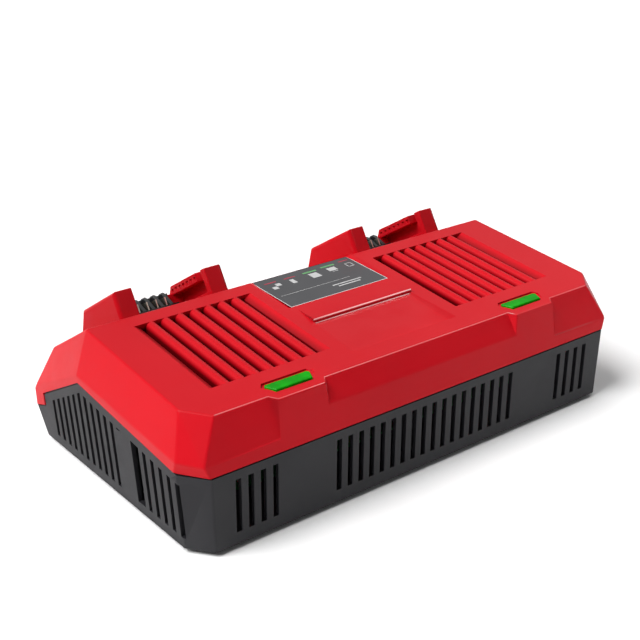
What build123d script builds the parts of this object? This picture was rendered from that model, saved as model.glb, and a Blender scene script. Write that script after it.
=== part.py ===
from build123d import *
import os
from math import atan, cos, degrees, radians, sin, tan

os.makedirs("parts", exist_ok=True)

# A charger for two slide-on battery packs: a dark base, a faceted red top shell with two louvre
# grilles, and two docks on the slope behind its ridge. Millimetres, +Z up, +Y to the rear.
# A size called "back" runs rearwards from the front edge of the seam between the shells,
# and a size called "up" runs upwards from the underside of the base.

# ------------------------------------------------------------------ driving dimensions
# Housing, seen from the side
depth = 191.0
foot_height = 3.0
wall = 2.6
seam_up = 44.4
base_front_draft = 2.3
base_rear_undercut = 8.0
front_lean = 6.2
top_edge_back = 8.0
top_edge_up = 74.2
slope_run = 72.5
ridge_up = 87.5
slope_angle = 30.0
shoulder_inset = 13.0
knee_inset = 2.0
knee_up = 29.5

# Seam between the shells, seen from the side
seam_gap = 0.8
seam_level_run = 15.2
seam_peak_up = 56.9
seam_step_inset = 19.5
seam_step_up = 29.9
seam_step_foot_up = 21.9
seam_rear_run = 7.0
seam_rear_up = 17.5
tongue_height = 2.0
shell_fit = 0.15

# Housing, seen from above
base_width = 314.5
side_draft = 2.6
shell_overhang = 0.5
crease_overhang = 1.05
crease_front_up = 51.4
crease_peak_up = 62.5
ridge_inset = 7.55
base_corner_width = 11.25
base_corner_run = 15.2
crease_corner_width = 8.8
crease_corner_run = 13.7
top_corner_width = 12.0
top_corner_run = 13.5
rear_corner = 7.0

# Bays: each has a light bar, a grille and a dock on one centre line
bay_spacing = 173.0

# Bevelled front with a raised pad in front of each light bar
outer_bevel_up = 51.6
centre_bevel_up = 60.9
pad_width = 30.3
pad_top_flare = 3.4
pad_foot_flare = 1.2

# Light bars
lens_front_back = 10.0
lens_depth = 8.3
lens_knee_run = 1.7
lens_front_width = 23.6
lens_width = 29.5
lens_rear_width = 27.2
lens_floor_up = 74.45
lens_proud = 1.0
lens_fit = 0.12
lens_edge = 0.35
recess_margin = 1.8
light_guide_width = 18.0
light_guide_depth = 4.0
light_board_width = 48.0
light_board_depth = 9.0
light_board_drop = 9.0
light_post_spacing = 40.0
light_post_radius = 2.4

# Louvre grilles
grille_front_back = 30.3
grille_ridge_gap = 10.9
grille_bevel = 4.5
grille_bevel_depth = 3.0
rib_count = 7
rib_width = 6.6
rib_gap = 2.9
rib_depth = 9.0
rib_wall = 1.6

# Middle of the top: label field, platform and pocket
label_width = 69.4
label_thickness = 0.5
label_drop = 2.3
label_fit = 0.15
field_side_run = 5.0
label_length = 38.3
platform_length = 21.4
platform_up = 82.4
platform_front_width = 74.0
pocket_front_back = 24.0
pocket_width = 71.0
pocket_front_drop = 2.9
pocket_rear_drop = 1.0
pocket_side_angle = 48.0

# Docks, measured down the slope ("along") and out from it ("out")
dock_width = 74.2
dock_opening = 49.2
dock_start = 9.2
dock_end = 57.9
dock_height = 17.2
dock_tail_along = 69.3
dock_tail_out = 6.2
dock_tail_undercut = 1.0
dock_cut_margin = 1.0
dock_edge_radius = 2.5
flange_out = 11.2
groove_reach = 6.4
groove_floor_out = 3.0
groove_start = 14.0
latch_pocket_along = 15.0
latch_pocket_length = 7.0
bulkhead_along = 58.5
bulkhead_thickness = 2.6
bulkhead_height = 12.6
notch_count = 7
notch_pitch = 5.4
notch_width = 3.6
notch_angle = 56.0
notch_depth = 0.9
dock_pin_radius = 3.0
dock_pin_short = 0.1
dock_screw_head_radius = 4.4
dock_screw_length = 4.4
dock_fit = 0.2

# Terminal blocks
terminal_width = 40.0
terminal_start = 44.0
terminal_base_out = 5.0
terminal_ramp_start = 46.0
terminal_ramp_end = 54.5
terminal_top_out = 14.4
terminal_wall_out = 13.4
terminal_back_wall = 2.2
guard_pitch = 6.4
guard_count = 6
guard_thickness = 2.4
window_margin = 1.8
blade_count = 5
blade_thickness = 0.8
blade_height = 10.5
blade_length = 8.5
blade_tail = 9.0
blade_setback = 1.0
blade_fit = 0.05

# Vents
vent_width = 3.45
front_vent_bottom_up = 7.3
front_vent_top_up = 38.9
outer_vent_inset = 25.25
outer_vent_pitch = 7.74
outer_vent_count = 4
middle_vent_pitch = 7.65
middle_vent_count = 18
side_vent_bottom_up = 6.2
side_vent_margin = 6.0
rear_vent_inset = 31.0
rear_vent_pitch = 7.54
stub_vent_height = 6.0
fore_vent_back = 50.3
fore_vent_pitch = 8.08
fore_vent_count = 5
wide_vent_width = 8.0
wide_vent_gap = 4.0

# Feet
foot_radius = 5.0
foot_seat = 1.0
front_foot_inset = 28.25
front_foot_back = 10.6
side_foot_inset = 10.05
side_foot_back = 52.0
rear_foot_inset = 24.0

# Housing screws in their bosses and pillars
screw_side_inset = 21.25
screw_front_back = 22.0
screw_rear_inset = 31.0
boss_radius = 6.0
pillar_radius = 4.5
pillar_foot_up = 26.0
screw_seat_up = 16.0
screw_length = 20.0
screw_radius = 1.6
screw_head_radius = 3.4
screw_head_height = 2.4
screw_clearance = 0.3
pilot_clearance = 0.1
pilot_spare = 1.0

# Wall hooks in the base
keyhole_spacing = 200.0
keyhole_back = 78.0
keyhole_head_radius = 4.6
keyhole_neck_radius = 2.2
keyhole_run = 9.0

# Cord gland
gland_radius = 6.5
gland_bore_radius = 4.0
gland_flange_radius = 8.5
gland_flange_thickness = 2.6
cradle_thickness = 2.6
gland_fit = 0.15

# Circuit board and what it carries
board_left_inset = 47.25
board_right_inset = 31.25
board_front_back = 33.0
board_rear_inset = 40.0
board_thickness = 1.6
standoff_height = 6.4
standoff_radius = 3.4
board_screw_radius = 1.2
board_screw_inset = 6.0
board_screw_length = 6.0
sink_length = 84.0
sink_height = 34.0
sink_base = 4.0
sink_fin_reach = 14.0
sink_fin_count = 7
sink_fin_thickness = 1.6
left_sink_gap = 21.5
right_sink_gap = 3.0
core_width = 44.0
core_height = 38.0
core_depth = 16.0
core_leg = 11.0
core_yoke = 7.0
coil_build = 8.0
coil_fit = 0.3
coil_corner_radius = 4.8
capacitor_radius = 12.5
capacitor_height = 36.0
capacitor_side_gap = 7.5
capacitor_gap = 7.0
choke_radius = 12.0
choke_section = 5.0
choke_side_gap = 7.0
choke_front_gap = 16.0
fuse_radius = 3.0
fuse_length = 20.0
fuse_gap = 7.0
header_width = 18.0
header_depth = 7.0
header_height = 9.0
header_gap = 1.5

# Cooling fan behind the left side vents
fan_size = 60.0
fan_thickness = 15.0
fan_rear_inset = 83.0
fan_wall_gap = 2.0
fan_guide_fit = 0.25
duct_radius = 28.4
fan_tip_gap = 0.9
fan_hub_radius = 13.0
fan_blade_count = 7
fan_blade_thickness = 1.4
fan_root_chord = 14.0
fan_tip_chord = 18.0
fan_root_pitch = 52.0
fan_tip_pitch = 66.0
fan_root_overlap = 2.0
motor_plate_thickness = 3.2
motor_strut_width = 4.0
rotor_end_gap = 0.5
rotor_shaft_radius = 1.5
rotor_shaft_fit = 0.05
fan_corner_radius = 4.0
fan_hole_radius = 2.15
fan_hole_spacing = 50.0
guide_thickness = 2.2
guide_height = 34.0
guide_lip = 3.4
guide_root = 1.8
transistor_width = 16.0
transistor_height = 20.0
transistor_thickness = 5.0
transistor_spacing = 40.0
transistor_lift = 8.0
lead_pitch = 5.0
lead_width = 1.2

# ------------------------------------------------------------------ places worked out from them
tolerance = 0.001
reach = depth + base_width
half_base = base_width / 2
half_crease = half_base + crease_overhang
half_ridge = half_base - ridge_inset
ridge_back = depth - slope_run
platform_rear_back = ridge_back - label_length
platform_front_back = platform_rear_back - platform_length
grille_rear_back = ridge_back - grille_ridge_gap
bays = {"left": -bay_spacing / 2, "right": bay_spacing / 2}
sides = {"left": -1, "right": 1}
top_angle = degrees(atan((ridge_up - top_edge_up) / (ridge_back - top_edge_back)))


def spot(x, back, up):
    """A point of the part, from its distance across, back and up."""
    return Vector(x, back - depth / 2, up + foot_height)


def side(back, up):
    """A point of a side view drawn on the YZ plane."""
    return (back - depth / 2, up + foot_height)


def plan(x, back):
    """A point of a view from above."""
    return (x, back - depth / 2)


def level(up):
    """Level plane at a height above the base's underside."""
    return Plane.XY.offset(up + foot_height)


def top_up(back):
    """Height of the top face."""
    return ridge_up - (ridge_back - back) * tan(radians(top_angle))


def slope_up(back):
    """Height of the rear slope."""
    return ridge_up - (back - ridge_back) * tan(radians(slope_angle))


def lean_back(up):
    """How far back the upper front face has leaned at a height."""
    return (up - seam_up) * tan(radians(front_lean))


def face_through(first, second, third, inside=Vector(0, 0, seam_up)):
    """Plane through three corners of a face, its normal turned away from a point inside."""
    normal = (second - first).cross(third - first).normalized()
    if normal.dot(first - inside) < 0:
        normal = -normal
    return Plane(origin=first, z_dir=normal)


def mirrored(face):
    """The same face on the other side of the housing."""
    origin, normal = face.origin, face.z_dir
    return Plane(origin=(-origin.X, origin.Y, origin.Z), z_dir=(-normal.X, normal.Y, normal.Z))


top_plane = Plane(
    origin=spot(0, ridge_back, ridge_up),
    x_dir=(1, 0, 0),
    z_dir=(0, -sin(radians(top_angle)), cos(radians(top_angle))),
)


def dock_plane(x):
    """Rear slope at a bay: across, along the slope and out from it, starting at the ridge."""
    return Plane(
        origin=spot(x, ridge_back, ridge_up),
        x_dir=(1, 0, 0),
        z_dir=(0, sin(radians(slope_angle)), cos(radians(slope_angle))),
    )


def dock_side(x):
    """Side view of a dock: local x runs along the slope and local y out from it."""
    plane = dock_plane(x)
    return Plane(origin=plane.origin, x_dir=plane.y_dir, z_dir=(1, 0, 0))


def dock_end_plane(x, along):
    """Section across a dock at a distance down the slope, facing the ridge: local y runs out."""
    plane = dock_plane(x)
    return Plane(origin=plane.from_local_coords((0, along, 0)), x_dir=plane.x_dir, z_dir=-plane.y_dir)


def along_top(back):
    """Distance on the top face from the ridge, negative towards the front."""
    return (back - ridge_back) / cos(radians(top_angle))


# ------------------------------------------------------------------ faces of the housing
base_outline = [
    side(seam_up * tan(radians(base_front_draft)), 0),
    side(-seam_up * tan(radians(base_front_draft)), 2 * seam_up),
    side(depth, 2 * seam_up),
    side(depth, seam_rear_up),
    side(depth - base_rear_undercut, 0),
]
shell_outline = [
    side(lean_back(0), 0),
    side(lean_back(top_edge_up), top_up(lean_back(top_edge_up))),
    side(ridge_back, ridge_up),
    side(depth - shoulder_inset, slope_up(depth - shoulder_inset)),
    side(depth - knee_inset, knee_up),
    side(depth, seam_rear_up),
    side(depth, 0),
]
seam_outline = [
    side(-reach, seam_up),
    side(seam_level_run, seam_up),
    side(ridge_back, seam_peak_up),
    side(depth - seam_step_inset, seam_step_up),
    side(depth - seam_step_inset, seam_step_foot_up),
    side(depth - seam_rear_run, seam_rear_up),
    side(depth + reach, seam_rear_up),
    side(depth + reach, -reach),
    side(-reach, -reach),
]

draft_run = seam_up * tan(radians(side_draft))
seam_side = spot(half_base, base_corner_run, seam_up)
seam_front = spot(half_base - base_corner_width, 0, seam_up)
base_side = face_through(
    seam_side, spot(half_base, depth, seam_up), spot(half_base - draft_run, depth, 0)
)
base_front_corner = face_through(
    seam_side,
    seam_front,
    spot(half_base - base_corner_width - draft_run / 2, draft_run, 0),
)
base_rear_corner = face_through(
    spot(half_base, depth - rear_corner, seam_rear_up),
    spot(half_base - rear_corner, depth, seam_rear_up),
    spot(half_base - draft_run, depth - rear_corner - base_rear_undercut, 0),
)

crease_front = spot(half_crease - crease_corner_width, lean_back(crease_front_up), crease_front_up)
crease_corner = spot(half_crease, lean_back(crease_front_up) + crease_corner_run, crease_front_up)
crease_peak = spot(half_crease, ridge_back, crease_peak_up)
crease_rear = spot(half_crease, depth - knee_inset - rear_corner, knee_up)
ridge_end = spot(half_ridge, ridge_back, ridge_up)
top_corner_back = top_edge_back + top_corner_run
top_corner = spot(half_ridge, top_corner_back, top_up(top_corner_back))
top_front_end = spot(half_ridge - top_corner_width, top_edge_back, top_edge_up)
shell_side = base_side.offset(shell_overhang)
shell_side_front = face_through(crease_corner, crease_peak, ridge_end)
shell_side_rear = face_through(crease_rear, crease_peak, ridge_end)
shell_low_corner = face_through(crease_front, crease_corner, seam_front + Vector(shell_overhang, 0, 0))
shell_corner_lower = face_through(crease_front, crease_corner, top_corner)
shell_corner_upper = face_through(crease_front, top_corner, top_front_end)
rear_corner_low = face_through(
    crease_rear,
    crease_rear + Vector(-rear_corner, rear_corner, 0),
    spot(half_base, depth - rear_corner, seam_rear_up),
)
rear_corner_high = face_through(
    crease_rear,
    crease_rear + Vector(-rear_corner, rear_corner, 0),
    spot(half_ridge, depth - shoulder_inset - rear_corner, slope_up(depth - shoulder_inset)),
)

outer_bevel = face_through(
    spot(0, top_edge_back, top_edge_up),
    spot(1, top_edge_back, top_edge_up),
    spot(0, lean_back(outer_bevel_up), outer_bevel_up),
)
centre_bevel = face_through(
    spot(0, top_edge_back, top_edge_up),
    spot(1, top_edge_back, top_edge_up),
    spot(0, lean_back(centre_bevel_up), centre_bevel_up),
)

base_faces = [base_side, base_front_corner, base_rear_corner]
shell_faces = [
    shell_side,
    shell_side_front,
    shell_side_rear,
    shell_low_corner,
    shell_corner_lower,
    shell_corner_upper,
    rear_corner_low,
    rear_corner_high,
]


def housing_form(outline, faces, inset=0.0):
    """Side-view outline drawn out across the housing, then trimmed to its sides and corners."""
    with BuildPart() as form:
        with BuildSketch(Plane.YZ):
            with BuildLine():
                Polyline(outline, close=True)
            make_face()
            if inset:
                offset(amount=-inset, kind=Kind.INTERSECTION)
        extrude(amount=base_width, both=True)
        for face in faces:
            split(bisect_by=face.offset(-inset), keep=Keep.BOTTOM)
            split(bisect_by=mirrored(face).offset(-inset), keep=Keep.BOTTOM)
    return form.part


def below_seam(grow):
    """Everything under the parting line, with the line moved outwards by grow."""
    with BuildPart() as block:
        with BuildSketch(Plane.YZ):
            with BuildLine():
                Polyline(seam_outline, close=True)
            make_face()
            offset(amount=grow, kind=Kind.INTERSECTION)
        extrude(amount=base_width, both=True)
    return block.part


def pad_flank(direction, bevel_up):
    """Flank of the right-hand pad: direction is -1 towards the middle and 1 away from it."""
    pad_middle = bay_spacing / 2
    half = pad_width / 2
    return face_through(
        spot(pad_middle + direction * (half + pad_top_flare), top_edge_back, top_edge_up),
        spot(pad_middle + direction * half, lean_back(top_edge_up), top_up(lean_back(top_edge_up))),
        spot(pad_middle + direction * (half + pad_foot_flare), lean_back(bevel_up), bevel_up),
        inside=spot(pad_middle, top_edge_back, top_edge_up),
    )


def finish(sub_part, label):
    """Names a piece and writes it."""
    sub_part.part.label = label
    export_step(sub_part.part, f"parts/{label}.step")


screw_places = [
    (x, back - depth / 2)
    for x in (screw_side_inset - half_base, 0, half_base - screw_side_inset)
    for back in (screw_front_back, depth - screw_rear_inset)
]
lens_outline = [
    (-lens_front_width / 2, lens_front_back),
    (lens_front_width / 2, lens_front_back),
    (lens_width / 2, lens_front_back + lens_depth - lens_knee_run),
    (lens_rear_width / 2, lens_front_back + lens_depth),
    (-lens_rear_width / 2, lens_front_back + lens_depth),
    (-lens_width / 2, lens_front_back + lens_depth - lens_knee_run),
]
lens_plan = [(x, back - depth / 2) for x, back in lens_outline]
lens_middle_y = lens_front_back + lens_depth / 2 - depth / 2
light_board_up = lens_floor_up - light_board_drop
light_post_places = [
    (x + post, lens_middle_y)
    for x in bays.values()
    for post in (-light_post_spacing / 2, light_post_spacing / 2)
]
grille_width = rib_count * rib_width + (rib_count + 1) * rib_gap
grille_length = along_top(grille_rear_back) - along_top(grille_front_back)
grille_end = Plane(
    origin=spot(0, grille_rear_back, top_up(grille_rear_back)),
    x_dir=(1, 0, 0),
    z_dir=-top_plane.y_dir,
)
pocket_front = spot(0, pocket_front_back, top_up(pocket_front_back) - pocket_front_drop)
pocket_rear = spot(0, platform_front_back, top_up(platform_front_back) - pocket_rear_drop)
pocket_floor = Plane(
    origin=pocket_rear,
    x_dir=(1, 0, 0),
    z_dir=Vector(1, 0, 0).cross(pocket_rear - pocket_front),
)
field_depth = label_drop + label_thickness
field_front = along_top(platform_rear_back)
field_end = Plane(
    origin=spot(0, platform_rear_back, top_up(platform_rear_back)),
    x_dir=(1, 0, 0),
    z_dir=-top_plane.y_dir,
)
half_label = label_width / 2 + label_fit
terminal_end = bulkhead_along - dock_fit
window_length = terminal_end - terminal_start - 2 * window_margin
window_width = terminal_width - 2 * window_margin
window_middle = (terminal_start + terminal_end) / 2
dock_pin_length = wall - dock_pin_short
dock_pin_along = (dock_start + groove_start) / 2 + dock_pin_radius
dock_pin_places = [
    (across * (dock_width / 2 - dock_pin_radius - wall / 2), along)
    for across in (-1, 1)
    for along in (dock_pin_along, dock_end - dock_pin_radius)
]

notch_middle = (latch_pocket_along + latch_pocket_length + bulkhead_along) / 2
blade_middle = terminal_end - terminal_back_wall - blade_setback - blade_length / 2
outer_vent_span = (outer_vent_count - 1) * outer_vent_pitch + vent_width
outer_vent_middle = half_base - outer_vent_inset - outer_vent_span / 2
front_vent_middle = (front_vent_bottom_up + front_vent_top_up) / 2 + foot_height
wide_vent_back = fore_vent_back + wide_vent_gap + wide_vent_width
rear_vent_back = depth - rear_vent_inset
rear_vent_count = int((rear_vent_back - wide_vent_back) / rear_vent_pitch) - 1
front_foot_x = half_base - front_foot_inset
side_foot_x = half_base - side_foot_inset
foot_places = {
    "front_left": plan(-front_foot_x, front_foot_back),
    "front_right": plan(front_foot_x, front_foot_back),
    "side_left": plan(-side_foot_x, side_foot_back),
    "side_right": plan(side_foot_x, side_foot_back),
    "rear_left": plan(-side_foot_x, depth - rear_foot_inset),
    "rear_right": plan(side_foot_x, depth - rear_foot_inset),
}

board_start_x = board_left_inset - half_base
board_end_x = half_base - board_right_inset
board_width = board_end_x - board_start_x
board_x = (board_start_x + board_end_x) / 2
board_depth = depth - board_rear_inset - board_front_back
board_back = board_front_back + board_depth / 2
board_up = wall + standoff_height
board_top_up = board_up + board_thickness
board_screw_places = [
    plan(board_x + across * (board_width / 2 - board_screw_inset), board_back + rearwards)
    for across in (-1, 0, 1)
    for rearwards in (board_screw_inset - board_depth / 2, board_depth / 2 - board_screw_inset)
]

choke_reach = choke_radius + choke_section
choke_x = board_end_x - choke_side_gap - choke_reach
choke_back = board_front_back + choke_front_gap + choke_reach
fuse_back = choke_back + choke_reach + fuse_gap + fuse_length / 2
header_back = fuse_back + fuse_length / 2 + header_gap + (header_width + header_depth) / 2
capacitor_x = board_start_x + capacitor_side_gap + capacitor_radius
sink_reach = sink_base + sink_fin_reach
sink_places = {
    "left": capacitor_x + capacitor_radius + left_sink_gap + sink_reach,
    "right": choke_x - choke_reach - right_sink_gap - sink_reach,
}

rear_wall_slant = base_rear_undercut / seam_rear_up
gland_room = wall * (1 + rear_wall_slant**2) ** 0.5 + rear_wall_slant * gland_flange_radius
gland_back = depth - gland_room - gland_flange_thickness - gland_fit
gland_start = Plane.XZ.offset(depth / 2 - gland_back + cradle_thickness)

floor_half_width = half_base - (seam_up - wall) * tan(radians(side_draft)) - wall
fan_outer_x = fan_wall_gap - floor_half_width
fan_inner_x = fan_outer_x + fan_thickness
fan_middle = side(depth - fan_rear_inset, wall + fan_size / 2)
fan_axis = Axis((0, *fan_middle), (1, 0, 0))
rotor_end_x = fan_inner_x - motor_plate_thickness - rotor_end_gap
rotor_start_x = fan_outer_x + rotor_end_gap
fan_tip_radius = duct_radius - fan_tip_gap

# ------------------------------------------------------------------ space inside the top shell
with BuildPart() as shell_space:
    add(housing_form(shell_outline, shell_faces, wall))
    split(bisect_by=outer_bevel.offset(-wall), keep=Keep.BOTTOM)
    split(bisect_by=centre_bevel.offset(-wall), keep=Keep.BOTTOM)
    # pillars that the housing screws pull on
    with BuildSketch(level(0)):
        with Locations(*screw_places):
            Circle(pillar_radius)
    extrude(amount=2 * ridge_up, mode=Mode.SUBTRACT)
    # posts that carry the light boards
    with BuildSketch(level(light_board_up)):
        with Locations(*light_post_places):
            Circle(light_post_radius)
    extrude(amount=ridge_up, mode=Mode.SUBTRACT)
    # wall kept under the sunk label field and the pocket
    with BuildSketch(top_plane.offset(-field_depth - wall)):
        with Locations((0, along_top(pocket_front_back) / 2)):
            Rectangle(label_width + 2 * field_side_run, -along_top(pocket_front_back) + 2 * wall)
    extrude(amount=ridge_up, mode=Mode.SUBTRACT)
    # skirt round each grille
    with BuildSketch(top_plane.offset(-rib_depth)):
        with Locations(*[(x, along_top(grille_front_back) + grille_length / 2) for x in bays.values()]):
            Rectangle(grille_width + 2 * wall, grille_length + 2 * wall)
    extrude(amount=ridge_up, mode=Mode.SUBTRACT)

# Room for the tongue of the base inside the seam
with BuildPart() as tongue_room:
    add(housing_form(base_outline, base_faces, wall / 2))
    add(below_seam(tongue_height + seam_gap), mode=Mode.INTERSECT)

# One louvre rib across its length: a domed top, straight sides and a hollow underside
with BuildSketch() as rib_profile:
    with BuildLine():
        ThreePointArc(
            (-rib_width / 2, -grille_bevel_depth), (0, 0), (rib_width / 2, -grille_bevel_depth)
        )
        Polyline(
            (rib_width / 2, -grille_bevel_depth),
            (rib_width / 2, -rib_depth),
            (rib_width / 2 - rib_wall, -rib_depth),
            (rib_width / 2 - rib_wall, -grille_bevel_depth - rib_wall),
            (rib_wall - rib_width / 2, -grille_bevel_depth - rib_wall),
            (rib_wall - rib_width / 2, -rib_depth),
            (-rib_width / 2, -rib_depth),
            (-rib_width / 2, -grille_bevel_depth),
        )
    make_face()

# ------------------------------------------------------------------ top shell
with BuildPart() as centre_relief:
    add(housing_form(shell_outline, shell_faces, -wall))
    split(bisect_by=centre_bevel, keep=Keep.TOP)
    split(bisect_by=pad_flank(-1, centre_bevel_up), keep=Keep.TOP)
    split(bisect_by=mirrored(pad_flank(-1, centre_bevel_up)), keep=Keep.TOP)

with BuildPart() as right_relief:
    add(housing_form(shell_outline, shell_faces, -wall))
    split(bisect_by=outer_bevel, keep=Keep.TOP)
    split(bisect_by=pad_flank(1, outer_bevel_up), keep=Keep.TOP)

with BuildPart() as top_shell:
    add(housing_form(shell_outline, shell_faces))
    # bevelled front, which leaves the two pads standing
    add(centre_relief.part, mode=Mode.SUBTRACT)
    add(right_relief.part, mode=Mode.SUBTRACT)
    add(mirror(right_relief.part, about=Plane.YZ, mode=Mode.PRIVATE), mode=Mode.SUBTRACT)
    # pocket, then the platform whose lip closes its rear end
    with BuildSketch(pocket_floor):
        Rectangle(pocket_width, platform_front_back - pocket_front_back, align=(Align.CENTER, Align.MAX))
    extrude(amount=2 * field_depth, taper=-pocket_side_angle, mode=Mode.SUBTRACT)
    with BuildSketch(level(top_up(platform_front_back) - wall / 2)):
        with BuildLine():
            Polyline(
                plan(-platform_front_width / 2, platform_front_back),
                plan(platform_front_width / 2, platform_front_back),
                plan(label_width / 2, platform_rear_back),
                plan(-label_width / 2, platform_rear_back),
                close=True,
            )
        make_face()
    extrude(amount=platform_up - top_up(platform_front_back) + wall / 2)
    # sunk field for the label, open at the ridge
    with BuildSketch(field_end):
        with BuildLine():
            Polyline(
                (-half_label, -field_depth),
                (half_label, -field_depth),
                (half_label + 2 * field_side_run, field_depth),
                (-half_label - 2 * field_side_run, field_depth),
                close=True,
            )
        make_face()
    extrude(amount=field_front - wall, mode=Mode.SUBTRACT)
    # level floor round each light bar
    with BuildSketch(level(lens_floor_up)):
        for x in bays.values():
            with BuildLine():
                Polyline([(x + across, y) for across, y in lens_plan], close=True)
            make_face()
        offset(amount=recess_margin, kind=Kind.INTERSECTION)
    extrude(amount=wall, mode=Mode.SUBTRACT)
    # sloped sides of the grille pockets and the openings under them, then the ribs
    with BuildSketch(grille_end):
        for x in bays.values():
            with BuildLine():
                Polyline(
                    (x - grille_width / 2 - grille_bevel, 0),
                    (x - grille_width / 2, -grille_bevel_depth),
                    (x - grille_width / 2, -2 * rib_depth),
                    (x + grille_width / 2, -2 * rib_depth),
                    (x + grille_width / 2, -grille_bevel_depth),
                    (x + grille_width / 2 + grille_bevel, 0),
                    close=True,
                )
            make_face()
    extrude(amount=grille_length, mode=Mode.SUBTRACT)
    # everything under the seam, the room inside and the rebate for the base's tongue
    add(below_seam(seam_gap / 2), mode=Mode.SUBTRACT)
    add(shell_space.part, mode=Mode.SUBTRACT)
    add(tongue_room.part, mode=Mode.SUBTRACT)
    with BuildSketch(grille_end):
        with Locations(*[(x, 0) for x in bays.values()]):
            with GridLocations(rib_width + rib_gap, 0, rib_count, 1):
                add(rib_profile.sketch)
    extrude(amount=grille_length)
    # lower ends of the screw pillars, with their pilot holes
    with BuildSketch(level(pillar_foot_up)):
        with Locations(*screw_places):
            Circle(pillar_radius)
    extrude(amount=seam_peak_up - pillar_foot_up)
    with BuildSketch(level(pillar_foot_up)):
        with Locations(*screw_places):
            Circle(screw_radius + pilot_clearance)
    extrude(amount=screw_length + screw_seat_up - pillar_foot_up + pilot_spare, mode=Mode.SUBTRACT)
    with BuildSketch(level(light_board_up)):
        with Locations(*light_post_places):
            Circle(board_screw_radius + pilot_clearance)
    extrude(amount=board_screw_length, mode=Mode.SUBTRACT)
    # openings for the light bars, the terminal blocks, the dock pegs and the cord gland
    with BuildSketch(level(light_board_up)):
        for x in bays.values():
            with BuildLine():
                Polyline([(x + across, y) for across, y in lens_plan], close=True)
            make_face()
    extrude(amount=2 * light_board_drop, mode=Mode.SUBTRACT)
    for x in bays.values():
        with BuildSketch(dock_plane(x).offset(-2 * wall)):
            with Locations((0, window_middle)):
                Rectangle(window_width, window_length)
            with Locations(*dock_pin_places):
                Circle(dock_pin_radius + dock_fit)
        extrude(amount=4 * wall, mode=Mode.SUBTRACT)
    with BuildSketch(gland_start):
        with Locations((0, seam_rear_up + foot_height)):
            Circle(gland_radius + gland_fit)
    extrude(amount=-depth, mode=Mode.SUBTRACT)

finish(top_shell, "top_shell")

# ------------------------------------------------------------------ shapes that the base is made with
with BuildPart() as base_space:
    add(housing_form(base_outline, base_faces, wall))

with BuildPart() as tongue:
    add(housing_form(base_outline, base_faces, wall / 2 + shell_fit))
    add(below_seam(tongue_height), mode=Mode.INTERSECT)

# Side vents: upright slots, cut off along a line that keeps its distance from the seam
rear_vent_places = [
    side(rear_vent_back - place * rear_vent_pitch, 0) for place in range(rear_vent_count)
]
fore_vent_places = [
    side(fore_vent_back - place * fore_vent_pitch, 0) for place in range(fore_vent_count)
]
with BuildSketch() as side_vents:
    with Locations(*rear_vent_places):
        Rectangle(vent_width, seam_peak_up, align=(Align.MAX, Align.MIN))
    with Locations(*fore_vent_places):
        Rectangle(vent_width, seam_peak_up, align=(Align.MAX, Align.MIN))
    with Locations(side(wide_vent_back, 0)):
        Rectangle(wide_vent_width, seam_peak_up, align=(Align.MAX, Align.MIN))
    with Locations(side(rear_vent_back - rear_vent_count * rear_vent_pitch, seam_peak_up)):
        Rectangle(vent_width, 2 * (side_vent_margin + stub_vent_height), align=(Align.MAX, Align.CENTER))
    with BuildLine():
        Polyline(
            side(0, side_vent_bottom_up),
            side(0, seam_up - side_vent_margin),
            side(seam_level_run, seam_up - side_vent_margin),
            side(ridge_back, seam_peak_up - side_vent_margin),
            side(depth - seam_step_inset, seam_step_up - side_vent_margin),
            side(depth - seam_step_inset, side_vent_bottom_up),
            close=True,
        )
    make_face(mode=Mode.INTERSECT)

# Fan channels seen from above: each holds one upright edge of the fan and hooks round its inner face
with BuildSketch() as fan_guides:
    for direction in (-1, 1):
        edge_y = fan_middle[0] + direction * (fan_size / 2 + fan_guide_fit)
        hook_x = fan_inner_x + fan_guide_fit
        with BuildLine():
            Polyline(
                (-floor_half_width - guide_root, edge_y),
                (hook_x, edge_y),
                (hook_x, edge_y - direction * guide_lip),
                (hook_x + guide_thickness, edge_y - direction * guide_lip),
                (hook_x + guide_thickness, edge_y + direction * guide_thickness),
                (-floor_half_width - guide_root, edge_y + direction * guide_thickness),
                close=True,
            )
        make_face()

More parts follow.
